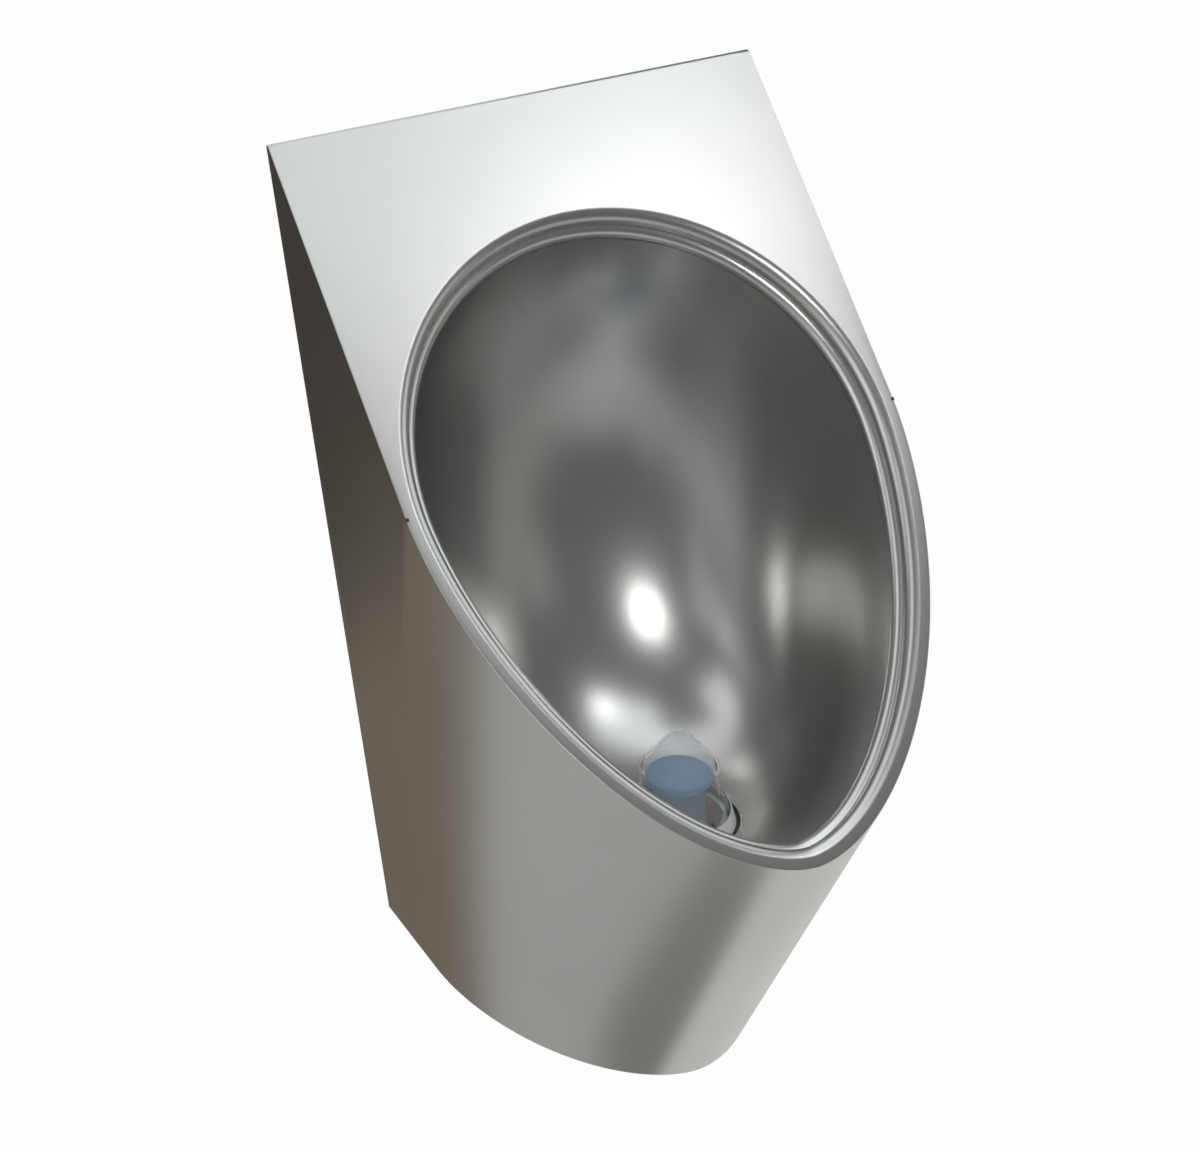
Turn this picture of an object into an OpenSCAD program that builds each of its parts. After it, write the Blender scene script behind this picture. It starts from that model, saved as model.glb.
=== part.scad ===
// Wall-hung waterless urinal in satin stainless steel, with its lift-out trap.
// Axes: X to the right, Y into the wall, Z up. The origin is the centre of the drain outlet in the wall's face.

/* [Body] */
// Width of the slanted front panel
body_w = 350; // [330:1:370]
// Height from the lower edge to the top edge
body_h = 619; // [600:1:640]
// Tilt of the front panel away from the wall, in degrees
slope_angle = 49.5; // [48:0.5:51]
// Length of the straight side folds, measured down the slope
fold_l = 263; // [255:1:275]
// Length of the rounded nose below the folds, measured down the slope
nose_l = 281; // [270:1:290]
// Roundness of the nose, as a share of a true ellipse's
nose_round_share = 0.865; // [0.85:0.005:0.95]
// Depth of the folded edge along the top
top_return = 3; // [2.5:0.5:5]
// Width of the body at its lower edge
foot_w = 222; // [210:1:240]
// Length of the straight side at the lower edge
foot_side = 86; // [75:1:95]
// Depth of the body at its lower edge
foot_d = 269; // [260:1:280]
// Roundness of the lower edge's front, as a share of a true ellipse's
foot_round_share = 0.905; // [0.88:0.005:0.95]
// Thickness of the steel shell
sheet = 1.5; // [1.2:0.1:2]
// Width of the returns that lie on the wall
wall_return = 15; // [12:1:20]
// Height of the return behind the top edge
top_flange = 25; // [20:1:28]

/* [Rim] */
// Width of the flat band outside the rolled edge of the nose
band_w = 6.5; // [5:0.5:8]
// Half length of the rolled opening above the folds, with the band
rim_top_l = 184.5; // [178:0.5:190]
// Radius of the panel's rolled edge
roll_r = 9; // [8:0.5:10]
// Radius of the bowl's lip, just inside the rolled edge
lip_r = 7.5; // [6:0.5:8]
// Radius of the relief notch where each fold ends
notch_r = 2.2; // [1.5:0.1:3]
// Radius of the relief hole where the sheet closes at the front
seam_hole_r = 1.2; // [0.8:0.1:1.5]

/* [Bowl] */
// Thickness of the drawn bowl
bowl_sheet = 1.2; // [1:0.1:1.5]
// Distance of the drain's axis from the wall
drain_y = 237; // [230:1:240]
// Height of the drain's mouth above the lower edge
drain_h = 190; // [185:1:195]
// Radius of the drain's mouth in the bowl
mouth_r = 41; // [40.8:0.1:42]
// Slope of the bowl's floor at the drain, in degrees
floor_angle = 9; // [6:1:12]
// Thickness of the sound-damping pads behind the bowl
pad_t = 3; // [2:0.5:4]

/* [Trap] */
// Radius of the white collar at its foot
collar_r = 38.6; // [38:0.1:39]
// Radius of the white collar at its top edge
collar_top_r = 35.6; // [35.3:0.1:36]
// Height of the collar's top edge above the drain's mouth
collar_h = 9.5; // [8.5:0.5:10.5]
// Outer radius of the trap cup below its collar
cup_r = 31.6; // [31:0.1:31.8]
// Length of the cup below the drain's mouth
cup_l = 62; // [58:1:64]
// Wall of the trap's moulded parts
cup_wall = 2; // [1.8:0.1:2.2]
// Height of the clear cap's top above the drain's mouth
cap_h = 67.5; // [65:0.5:70]
// Radius of the clear cap's flat top
cap_top_r = 7.3; // [6:0.1:9]
// Radius of the clear cap's shoulder
cap_r = 27; // [26:0.5:28]
// Wall of the clear cap
cap_wall = 1.6; // [1.4:0.1:1.8]
// Radius of the blue cleaning block
block_r = 22.1; // [20:0.1:23]
// Height of the cleaning block's top above the drain's mouth
block_h = 37; // [35:0.5:38]
// Radius of the bell that carries the block
bell_r = 18.2; // [17:0.1:19]
// Number of inflow slots round the clear cap
slot_count = 12; // [8:1:14]
// Travel of the float ring
float_travel = 8; // [5:1:10]

/* [Drain] */
// Height of the outlet's axis above the lower edge
outlet_h = 55; // [50:1:60]
// Outer radius of the outlet spigot, for a standard wall drain of 50 mm
spigot_r = 25; // [24:0.5:26]
// Length of the outlet spigot that stands into the wall
spigot_l = 40; // [30:5:60]
// Outer radius of the outlet pipe between the elbow and the wall
pipe_r = 23; // [22:0.5:23.5]
// Outer radius of the elbow's tube
elbow_r = 21.5; // [20:0.5:22]
// Radius of the elbow's bend, at its axis
bend_r = 30; // [28:1:32]
// Bore of the trap socket
socket_bore_r = 32.5; // [32.3:0.1:32.8]
// Wall of the socket, elbow and nuts
drain_wall = 3; // [2.5:0.1:3.5]

/* [Fixings] */
// Distance between the two holes of the wall bracket
bracket_pitch = 200; // [160:10:220]
// Distance between the two holes of the lower rail
rail_pitch = 150; // [140:5:160]
// Radius of the wall-screw holes
fixing_r = 4.5; // [3.5:0.25:5]
// Thickness of the bracket and the rails
rail_t = 2; // [1.5:0.5:3]

/* [Hidden] */

round_fn = 72;
small_round_fn = 24;
overrun = 1;
clearance = 0.2;
running_gap = 0.05;
seat_gap = 0.3;
// Unit exponent of a true ellipse
ellipse_power = 2;
// Step between sections round the rim, in degrees, and the number of steps on each straight stretch
rim_step_angle = 5;
edge_count = 6;
roll_count = 4;
wall_count = 22;
// Angle that keeps a search, and a ratio that keeps a quotient, off zero
tiny_angle = 0.01;
tiny_share = 0.001;

base_z = -outlet_h;
top_z = base_z + body_h;
mouth_z = base_z + drain_h;
lip_d = band_w + roll_r - sheet;
lip_end_d = lip_d + lip_r;
lip_end_depth = roll_r + lip_r;
nose_power = ellipse_power * nose_round_share;
foot_power = ellipse_power * foot_round_share;
foot_nose = foot_d - foot_side;
// Where the panel's plane meets the plane of the lower edge
slope_reach = body_h / cos(slope_angle);
floor_reach = top_return + body_h * tan(slope_angle);

// Share of the straight lower side that each stretch of the side sheet takes up
side_fan_share = 0.12;

// Polar point of a rounded oval with half axes a and b
function oval(t, a, b, power) =
    let (r = pow(pow(abs(cos(t)) / a, power) + pow(abs(sin(t)) / b, power), -1 / power))
    [r * cos(t), r * sin(t)];

// Outward normal of that oval at its point p
function oval_normal(p, a, b, power) =
    let (g = [
        sign(p.x) * pow(abs(p.x) / a, power - 1) / a,
        sign(p.y) * pow(abs(p.y) / b, power - 1) / b
    ])
    g / norm(g);

// Point of an oval, moved inwards by d along its normal
function inset_oval(t, a, b, power, d) =
    let (p = oval(t, a, b, power))
    p - d * oval_normal(p, a, b, power);

// Point of the rim's outline in the panel's plane, inset by d: across, and down the slope
function rim_point(t, d) =
    let (q = sin(t) >= 0
        ? inset_oval(t, body_w / 2, nose_l, nose_power, d)
        : inset_oval(t, body_w / 2, rim_top_l, ellipse_power, d))
    [q.x, fold_l + q.y];

// Point of the panel's outer edge in its plane: the nose below the folds, a rectangle above them
function edge_point(t) =
    sin(t) >= 0
        ? rim_point(t, 0)
        : let (reach = min(body_w / 2 / max(abs(cos(t)), tiny_share), fold_l / abs(sin(t))))
            [reach * cos(t), fold_l + reach * sin(t)];

// Place in space of a point of the panel's plane, at a depth below its face
function on_slope(q, depth) = [
    q.x,
    -top_return - q.y * sin(slope_angle) + depth * cos(slope_angle),
    top_z - q.y * cos(slope_angle) - depth * sin(slope_angle)
];

// Half width of the side sheet where it lies on the wall, at a height above the lower edge
function side_x(h) = (foot_w + (body_w - foot_w) * h / body_h) / 2;

// Solid through a row of closed sections, each a list of points, closed to a ring or capped at its ends
module loft(sections, ring) {
    n = len(sections);
    k = len(sections[0]);
    walls = [
        for (i = [0 : n - (ring ? 1 : 2)], j = [0 : k - 1])
            let (
                a = i * k + j,
                b = i * k + (j + 1) % k,
                c = ((i + 1) % n) * k + (j + 1) % k,
                d = ((i + 1) % n) * k + j
            )
            each [[a, c, b], [a, d, c]]
    ];
    // A section lists one face of the sheet and then the other, so a cap runs between its two halves
    caps = ring ? [] : [
        for (j = [0 : k / 2 - 2], f = [[j, j + 1, k - 1 - j], [j + 1, k - 2 - j, k - 1 - j]])
            each [f, [for (v = [2 : -1 : 0]) (n - 1) * k + f[v]]]
    ];
    polyhedron(points = [for (s = sections) each s], faces = concat(walls, caps), convexity = 8);
}

// Angles of the sections round the rim, with the panel's two upper corners among them
corner_angle = atan2(fold_l, body_w / 2);
nose_angles = [for (t = [0 : rim_step_angle : 180 - rim_step_angle]) t];
upper_angles = concat(
    [for (i = [0 : edge_count - 1]) 180 + corner_angle * i / edge_count],
    [for (i = [0 : 2 * edge_count - 1]) 180 + corner_angle + (90 - corner_angle) * i / edge_count],
    [for (i = [0 : edge_count - 1]) 360 - corner_angle + corner_angle * i / edge_count]
);
panel_angles = concat(nose_angles, upper_angles);

// Section of the panel at one angle: flat sheet, then the edge rolled inwards
function panel_section(t) = concat(
    [on_slope(edge_point(t), 0)],
    [for (i = [0 : roll_count])
        let (a = 90 * i / roll_count)
        on_slope(rim_point(t, band_w + roll_r * sin(a)), roll_r * (1 - cos(a)))],
    [for (i = [roll_count : -1 : 0])
        let (a = 90 * i / roll_count, r = roll_r - sheet)
        on_slope(rim_point(t, band_w + r * sin(a)), sheet + r * (1 - cos(a)))],
    [on_slope(edge_point(t), sheet)]
);

module fold_notches() {
    for (side = [-1, 1]) {
        translate(on_slope([side * body_w / 2, fold_l], 0))
            rotate([slope_angle - 90, 0, 0])
                cylinder(h = 4 * sheet, r = notch_r, center = true, $fn = small_round_fn);
    }
}

module top_edge() {
    half_w = side_x(body_h - top_flange) - wall_return - clearance;
    translate([-body_w / 2, -top_return, top_z - sheet])
        cube([body_w, top_return, sheet]);
    translate([-half_w, -sheet, top_z - top_flange])
        cube([2 * half_w, sheet, top_flange]);
}

module front_panel() {
    color([0.86, 0.87, 0.87]) difference() {
        union() {
            loft([for (t = panel_angles) panel_section(t)], true);
            top_edge();
        }
        fold_notches();
    }
}

// Where a tangent of the rim's nose meets the line shared by the panel's plane and the lower edge's plane
function rim_hit(t) =
    let (
        p = oval(t, body_w / 2, nose_l, nose_power),
        g = oval_normal(p, body_w / 2, nose_l, nose_power)
    )
    p.x - (slope_reach - fold_l - p.y) * g.y / g.x;

// The same for a tangent of the lower edge's rounded front
function foot_hit(t) =
    let (
        p = oval(t, foot_w / 2, foot_nose, foot_power),
        g = oval_normal(p, foot_w / 2, foot_nose, foot_power)
    )
    p.x - (floor_reach - foot_side - p.y) * g.y / g.x;

// A flat sheet bends only along straight lines whose end tangents meet, so these two searches pair
// each point of the nose with the point of the lower edge that the sheet's bend line runs to
function foot_angle(t, low, high, n) =
    let (mid = (low + high) / 2)
    n == 0 ? mid
        : foot_hit(mid) > rim_hit(t) ? foot_angle(t, mid, high, n - 1)
        : foot_angle(t, low, mid, n - 1);

function bend_start(low, high, n) =
    let (mid = (low + high) / 2)
    n == 0 ? mid
        : rim_hit(mid) > foot_w / 2 ? bend_start(mid, high, n - 1)
        : bend_start(low, mid, n - 1);

search_count = 30;
bend_start_angle = bend_start(tiny_angle, 90 / 2, search_count);
nose_count = 17;

// Section of the side sheet: outer and inner face at the top, inner and outer face at the bottom
function side_section(upper, lower, upper_in, lower_in) = [upper, upper_in, lower_in, lower];

// Straight stretch beside the fold, v down the slope, ending at a share of the straight lower side
function straight_section(v, foot_share) = side_section(
    on_slope([body_w / 2, v], sheet),
    [foot_w / 2, -top_return - (foot_side - top_return) * foot_share, base_z],
    on_slope([body_w / 2 - sheet, v], sheet),
    [foot_w / 2 - sheet, -top_return - (foot_side - top_return) * foot_share, base_z]
);

// Rounded stretch, at an angle of the nose and an angle of the lower edge
function nose_section(t, foot_t) =
    let (
        q = inset_oval(foot_t, foot_w / 2, foot_nose, foot_power, 0),
        qi = inset_oval(foot_t, foot_w / 2, foot_nose, foot_power, sheet)
    )
    side_section(
        on_slope(rim_point(t, 0), sheet),
        [q.x, -foot_side - q.y, base_z],
        on_slope(rim_point(t, sheet), sheet),
        [qi.x, -foot_side - qi.y, base_z]
    );

wall_top = top_z - sheet;
right_sections = concat(
    [side_section(
        [body_w / 2 - wall_return, 0, wall_top],
        [foot_w / 2 - wall_return, 0, base_z],
        [body_w / 2 - wall_return, -sheet, wall_top],
        [foot_w / 2 - wall_return, -sheet, base_z]
    )],
    [side_section(
        [body_w / 2, 0, wall_top],
        [foot_w / 2, 0, base_z],
        [body_w / 2 - sheet, -sheet, wall_top],
        [foot_w / 2 - sheet, -sheet, base_z]
    )],
    [for (i = [0 : edge_count]) straight_section(fold_l * i / edge_count, side_fan_share * i / edge_count)],
    [let (
        t = bend_start_angle / 2,
        foot_share = (1 + side_fan_share) / 2
    )
        side_section(
            on_slope(rim_point(t, 0), sheet),
            [foot_w / 2, -foot_side * foot_share, base_z],
            on_slope(rim_point(t, sheet), sheet),
            [foot_w / 2 - sheet, -foot_side * foot_share, base_z]
        )],
    [nose_section(bend_start_angle, 0)],
    [for (i = [1 : nose_count - 1])
        let (t = bend_start_angle + (90 - bend_start_angle) * i / nose_count)
        nose_section(t, foot_angle(t, tiny_angle, 90 - tiny_angle, search_count))]
);
left_sections = [
    for (i = [len(right_sections) - 1 : -1 : 0])
        [for (p = right_sections[i]) [-p.x, p.y, p.z]]
];

module side_skirt() {
    color([0.62, 0.61, 0.58]) difference() {
        loft(concat(right_sections, [nose_section(90, 90)], left_sections), false);
        fold_notches();
        translate(on_slope(rim_point(90, 0), sheet + seam_hole_r))
            rotate([90, 0, 0])
                cylinder(h = 4 * sheet, r = seam_hole_r, center = true, $fn = small_round_fn);
    }
}

// Direction of the bowl's wall where it leaves the lip, and how far its two handles reach
wall_lean_share = 0.18;
wall_reach_share = 0.40;
floor_reach_share = 0.36;

drain_axis = [0, -drain_y];

function drain_point(direction, r, z) = [
    drain_axis.x + r * direction.x,
    drain_axis.y + r * direction.y,
    z
];

// Level direction from the drain's axis to a point
function away(p) = let (d = [p.x, p.y] - drain_axis) d / norm(d);

function bezier(p, s) =
    pow(1 - s, 3) * p[0] + 3 * pow(1 - s, 2) * s * p[1] + 3 * (1 - s) * s * s * p[2] + pow(s, 3) * p[3];

// The bowl's wall at one angle of the rim: off the lip square to the panel, then level into the drain
function wall_handles(t) =
    let (
        start = on_slope(rim_point(t, lip_end_d - bowl_sheet), lip_end_depth + bowl_sheet),
        out = away(start),
        end = drain_point(out, mouth_r, mouth_z),
        span = norm(start - end),
        lean = [-out.x * wall_lean_share, -out.y * wall_lean_share, 0],
        inward = [0, cos(slope_angle), -sin(slope_angle)] + lean
    )
    [
        start,
        start + wall_reach_share * span * inward / norm(inward),
        end + floor_reach_share * span * [out.x * cos(floor_angle), out.y * cos(floor_angle), sin(floor_angle)],
        end
    ];

function wall_point(t, s) = bezier(wall_handles(t), s);

// Outward normal of the wall's hidden face, by small differences
function wall_normal(t, s) =
    let (
        small_share = 0.01,
        along = wall_point(t, min(s + small_share, 1)) - wall_point(t, max(s - small_share, 0)),
        round = wall_point(t + 1, s) - wall_point(t - 1, s),
        n = cross(round, along)
    )
    n / norm(n);

function wall_behind(t, s, d) = wall_point(t, s) + d * wall_normal(t, s);

seat_drop = 8.2;
seat_r = 36;

function bowl_section(t) =
    let (out = away(wall_point(t, 0)))
    concat(
        [for (i = [0 : roll_count])
            let (a = 90 * i / roll_count)
            on_slope(rim_point(t, lip_d + lip_r * sin(a)), roll_r + lip_r * (1 - cos(a)))],
        [for (i = [0 : wall_count]) wall_point(t, i / wall_count)],
        [drain_point(out, mouth_r, mouth_z - seat_drop), drain_point(out, seat_r, mouth_z - seat_drop)],
        [
            drain_point(out, seat_r, mouth_z - seat_drop - bowl_sheet),
            drain_point(out, mouth_r + bowl_sheet, mouth_z - seat_drop - bowl_sheet),
            drain_point(out, mouth_r + bowl_sheet, mouth_z - bowl_sheet)
        ],
        [for (i = [wall_count - 1 : -1 : 0]) wall_behind(t, i / wall_count, bowl_sheet)],
        [for (i = [roll_count : -1 : 0])
            let (a = 90 * i / roll_count, r = lip_r - bowl_sheet)
            on_slope(rim_point(t, lip_d + r * sin(a)), roll_r + bowl_sheet + r * (1 - cos(a)))]
    );

bowl_step_angle = 5.625;

module bowl() {
    color([0.5, 0.5, 0.48])
        loft([for (t = [0 : bowl_step_angle : 360 - bowl_step_angle]) bowl_section(t)], true);
}

// Patch behind the bowl, between two steps round the rim and two steps of the way to the drain
module pad(from_i, to_i, from_j, to_j) {
    function spot(i, j, d) = wall_behind(i * bowl_step_angle, j / wall_count, d);
    loft([
        for (i = [from_i : to_i]) concat(
            [for (j = [from_j : to_j]) spot(i, j, bowl_sheet + pad_gap)],
            [for (j = [to_j : -1 : from_j]) spot(i, j, bowl_sheet + pad_gap + pad_t)]
        )
    ], false);
}

// Layer of glue under a pad
pad_gap = 0.6;
// Middle and half width of each pad as shares of a turn: behind the bowl, right and left
pad_turn_shares = [[0.75, 0.0625], [0, 0.046875], [0.5, 0.046875]];
// Where the pads start and end, as shares of the wall's length
pad_wall_shares = [0.36, 0.64];

module sound_pads() {
    function turn_step(share) = round(share * 360 / bowl_step_angle);
    from_j = round(pad_wall_shares[0] * wall_count);
    to_j = round(pad_wall_shares[1] * wall_count);
    color([0.12, 0.12, 0.12]) for (s = pad_turn_shares) {
        pad(turn_step(s[0] - s[1]), turn_step(s[0] + s[1]), from_j, to_j);
    }
}

// The hook that carries the body, below the top edge, and its wall holes, below the hook
shelf_drop = 34;
shelf_h = body_h - shelf_drop;
hook_h = 12;
hook_depth = 12;
bracket_h = 45;
bracket_w = 260;
bracket_hole_drop = 23;
bracket_hole_h = shelf_h - bracket_hole_drop;

module wall_bracket() {
    color([0.45, 0.46, 0.48]) difference() {
        translate([-bracket_w / 2, 0, base_z]) rotate([90, 0, 90]) linear_extrude(bracket_w) polygon([
            [0, shelf_h - bracket_h],
            [0, shelf_h],
            [-hook_depth + rail_t, shelf_h],
            [-hook_depth + rail_t, shelf_h + hook_h],
            [-hook_depth, shelf_h + hook_h],
            [-hook_depth, shelf_h - rail_t],
            [-rail_t, shelf_h - rail_t],
            [-rail_t, shelf_h - bracket_h]
        ]);
        for (side = [-1, 1]) {
            translate([side * bracket_pitch / 2, overrun, base_z + bracket_hole_h]) rotate([90, 0, 0])
                cylinder(h = rail_t + 2 * overrun, r = fixing_r, $fn = round_fn);
        }
    }
}

hanger_h = 16;
hanger_depth = 14;
hanger_y = -6;

module hanger_rail() {
    half_w = side_x(shelf_h) - sheet - clearance;
    color([0.5, 0.51, 0.52])
        translate([-half_w, hanger_y, base_z]) rotate([90, 0, 90]) linear_extrude(2 * half_w) polygon([
            [0, shelf_h],
            [0, shelf_h + hanger_h],
            [-hanger_depth, shelf_h + hanger_h],
            [-hanger_depth, shelf_h + hanger_h / 2],
            [-hanger_depth + rail_t, shelf_h + hanger_h / 2],
            [-hanger_depth + rail_t, shelf_h + hanger_h - rail_t],
            [-rail_t, shelf_h + hanger_h - rail_t],
            [-rail_t, shelf_h]
        ]);
}

lower_rail_h = 60;
lower_rail_leg = 10;
// Collar that stops the outlet pipe against the wall's drain socket
stop_r = 27;
stop_l = 8;

module lower_rail() {
    low = outlet_h - lower_rail_h / 2;
    high = outlet_h + lower_rail_h / 2;
    half_w = side_x(low) - sheet - clearance;
    color([0.5, 0.51, 0.52]) difference() {
        translate([-half_w, -sheet, base_z]) rotate([90, 0, 90]) linear_extrude(2 * half_w) polygon([
            [0, low],
            [0, high],
            [-lower_rail_leg, high],
            [-lower_rail_leg, high - rail_t],
            [-rail_t, high - rail_t],
            [-rail_t, low + rail_t],
            [-lower_rail_leg, low + rail_t],
            [-lower_rail_leg, low]
        ]);
        translate([0, overrun, 0]) rotate([90, 0, 0])
            cylinder(h = sheet + rail_t + 2 * overrun, r = stop_r + clearance, $fn = round_fn);
        for (side = [-1, 1]) {
            translate([side * rail_pitch / 2, overrun, 0]) rotate([90, 0, 0])
                cylinder(h = sheet + rail_t + 2 * overrun, r = fixing_r, $fn = round_fn);
        }
    }
}

// The cover is set up inside the lower edge and screwed to four tabs
cover_t = 1.5;
cover_recess = 4;
cover_gap = 0.8;
tab_w = 14;
tab_reach = 16;
tab_h = 14;
tab_places_share = [0.25, 0.85];
screw_r = 2;
screw_head_r = 3.8;
screw_head_h = 2.2;
screw_l = 9;

tab_z = base_z + cover_recess + cover_t;

// Outline of the lower edge, inset by d, in plan
function foot_outline(d) = concat(
    [[foot_w / 2 - d, -d], [foot_w / 2 - d, -foot_side]],
    [for (t = [6 : 6 : 174])
        let (q = inset_oval(t, foot_w / 2, foot_nose, foot_power, d))
        [q.x, -foot_side - q.y]],
    [[-foot_w / 2 + d, -foot_side], [-foot_w / 2 + d, -d]]
);

module at_tabs() {
    for (side = [-1, 1], place_share = tab_places_share) {
        translate([side * (foot_w / 2 - sheet), -foot_side * place_share, tab_z])
            mirror([side > 0 ? 1 : 0, 0, 0])
                children();
    }
}

module cover_tabs() {
    color([0.5, 0.51, 0.52]) at_tabs() difference() {
        union() {
            translate([0, -tab_w / 2, 0]) cube([tab_reach, tab_w, sheet]);
            translate([0, -tab_w / 2, 0]) cube([sheet, tab_w, tab_h]);
        }
        translate([tab_reach / 2, 0, -overrun]) cylinder(h = sheet + 2 * overrun, r = screw_r, $fn = round_fn);
    }
}

module bottom_cover() {
    color([0.55, 0.55, 0.54]) difference() {
        translate([0, 0, tab_z - cover_t]) linear_extrude(cover_t) polygon(foot_outline(sheet + cover_gap));
        at_tabs() translate([tab_reach / 2, 0, -cover_t - overrun])
            cylinder(h = cover_t + 2 * overrun, r = screw_r + clearance, $fn = round_fn);
    }
}

module cover_screws() {
    color([0.7, 0.7, 0.72]) at_tabs() translate([tab_reach / 2, 0, -cover_t]) {
        translate([0, 0, -screw_head_h]) cylinder(h = screw_head_h, r = screw_head_r, $fn = round_fn);
        cylinder(h = screw_l, r = screw_r - running_gap, $fn = round_fn);
    }
}

// Everything below stands on the drain's axis, with heights from the drain's mouth
module at_drain() {
    translate([drain_axis.x, drain_axis.y, mouth_z]) children();
}

// Body of revolution from a closed outline of radius and height
module turned(outline) {
    rotate_extrude($fn = round_fn) polygon(outline);
}

// Plain ring between two radii and two heights
module ring(r_in, r_out, low, high) {
    turned([[r_in, low], [r_out, low], [r_out, high], [r_in, high]]);
}

gasket_t = 1.2;
flange_drop = 1;
flange_gap = 0.6;
flange_r = mouth_r - flange_gap;
flange_low = -seat_drop + gasket_t;
socket_r = socket_bore_r + drain_wall;
socket_floor = -66;
neck_top = -76;
neck_low = -92;
neck_bore_r = 18.5;
neck_r = 23;

module trap_socket() {
    color([0.1, 0.1, 0.1]) at_drain() turned([
        [socket_bore_r, -flange_drop],
        [flange_r, -flange_drop],
        [flange_r, flange_low],
        [socket_r, flange_low],
        [socket_r, socket_floor - drain_wall],
        [neck_r, neck_top - drain_wall],
        [neck_r, neck_low],
        [neck_bore_r, neck_low],
        [neck_bore_r, neck_top],
        [socket_bore_r, socket_floor]
    ]);
}

module socket_gasket() {
    color([0.05, 0.05, 0.05]) at_drain() ring(socket_r + clearance, flange_r, -seat_drop, flange_low);
}

slip_t = 1.5;
nut_r = 46;
nut_h = 13;
grip_count = 10;
grip_r = 2.5;
// How far the grips stop short of each end of a nut
grip_end = 0.5;
slip_low = -seat_drop - bowl_sheet - slip_t;

module slip_ring() {
    color([0.9, 0.9, 0.88]) at_drain() ring(socket_r + clearance, nut_r, slip_low, slip_low + slip_t);
}

module grips(r, low, high) {
    for (i = [0 : grip_count - 1]) {
        rotate(360 * (i + 0.5) / grip_count) translate([r, 0, low + grip_end])
            cylinder(h = high - low - 2 * grip_end, r = grip_r, $fn = small_round_fn);
    }
}

module socket_nut() {
    color([0.1, 0.1, 0.1]) at_drain() {
        ring(socket_r + clearance, nut_r, slip_low - nut_h, slip_low);
        grips(nut_r, slip_low - nut_h, slip_low);
    }
}

seal_t = 2;
elbow_flange_t = 3;
union_r = 29;
union_lap = 9;
elbow_top = neck_low - seal_t;
elbow_wall = 2.5;
socket_in = -75;
socket_end = -38;
pipe_wall = 1.8;
push_r = pipe_r + running_gap;
push_wall = 3;
seal_room = 3.5;

module union_seal() {
    color([0.05, 0.05, 0.05]) at_drain() ring(neck_bore_r, neck_r, neck_low - seal_t, neck_low);
}

module elbow_bend(r) {
    translate([0, bend_r - drain_y, bend_r])
        rotate([-90, 0, -90])
            rotate_extrude(angle = 90, $fn = round_fn) translate([bend_r, 0]) circle(r = r, $fn = round_fn);
}

module outlet_elbow() {
    flange_z = mouth_z + elbow_top - elbow_flange_t;
    color([0.1, 0.1, 0.1]) difference() {
        union() {
            translate([0, -drain_y, flange_z]) cylinder(h = elbow_flange_t, r = neck_r, $fn = round_fn);
            translate([0, -drain_y, bend_r]) cylinder(h = flange_z - bend_r + overrun, r = elbow_r, $fn = round_fn);
            elbow_bend(elbow_r);
            translate([0, socket_in, 0]) rotate([90, 0, 0])
                cylinder(h = drain_y - bend_r + socket_in, r = elbow_r, $fn = round_fn);
            translate([0, socket_end, 0]) rotate([90, 0, 0])
                cylinder(h = socket_end - socket_in + push_wall, r = push_r + push_wall, $fn = round_fn);
        }
        translate([0, -drain_y, bend_r]) cylinder(
            h = flange_z + elbow_flange_t - bend_r + overrun, r = elbow_r - elbow_wall, $fn = round_fn);
        elbow_bend(elbow_r - elbow_wall);
        translate([0, socket_in, 0]) rotate([90, 0, 0])
            cylinder(h = drain_y - bend_r + socket_in, r = elbow_r - elbow_wall, $fn = round_fn);
        translate([0, socket_end + overrun, 0]) rotate([90, 0, 0])
            cylinder(h = socket_end - socket_in + overrun, r = push_r, $fn = round_fn);
    }
}

module union_nut() {
    low = elbow_top - elbow_flange_t - drain_wall;
    color([0.1, 0.1, 0.1]) at_drain() {
        turned([
            [elbow_r + clearance, low],
            [union_r, low],
            [union_r, neck_low + union_lap],
            [neck_r + clearance, neck_low + union_lap],
            [neck_r + clearance, low + drain_wall],
            [elbow_r + clearance, low + drain_wall]
        ]);
        grips(union_r, low, neck_low + union_lap);
    }
}

spigot_chamfer_l = 3;
spigot_chamfer = 1.2;

// The pipe runs from the elbow's socket to a stop collar at the wall, and on as the spigot
module outlet_pipe() {
    bore = pipe_r - pipe_wall;
    color([0.3, 0.31, 0.32]) rotate([-90, 0, 0]) turned([
        [bore, socket_in + clearance],
        [pipe_r, socket_in + clearance],
        [pipe_r, -stop_l],
        [stop_r, -stop_l],
        [stop_r, 0],
        [spigot_r, 0],
        [spigot_r, spigot_l - spigot_chamfer_l],
        [spigot_r - spigot_chamfer, spigot_l],
        [bore, spigot_l]
    ]);
}

// The seal caps the elbow's push socket round the pipe
module pipe_seal() {
    color([0.05, 0.05, 0.05]) translate([0, socket_end, 0]) rotate([-90, 0, 0])
        ring(pipe_r + running_gap, push_r + push_wall, 0, seal_room);
}

cup_in_r = cup_r - cup_wall;
ledge_h = 4;
collar_edge = 0.7;
// Height of the float ring's foot when it has risen
float_high = -27;
float_low = float_high - float_travel;
float_step = 2;
float_gap = 1;
riser_r = 11;
riser_wall = 1.5;
riser_top = -20;
riser_tail = 8;

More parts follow.
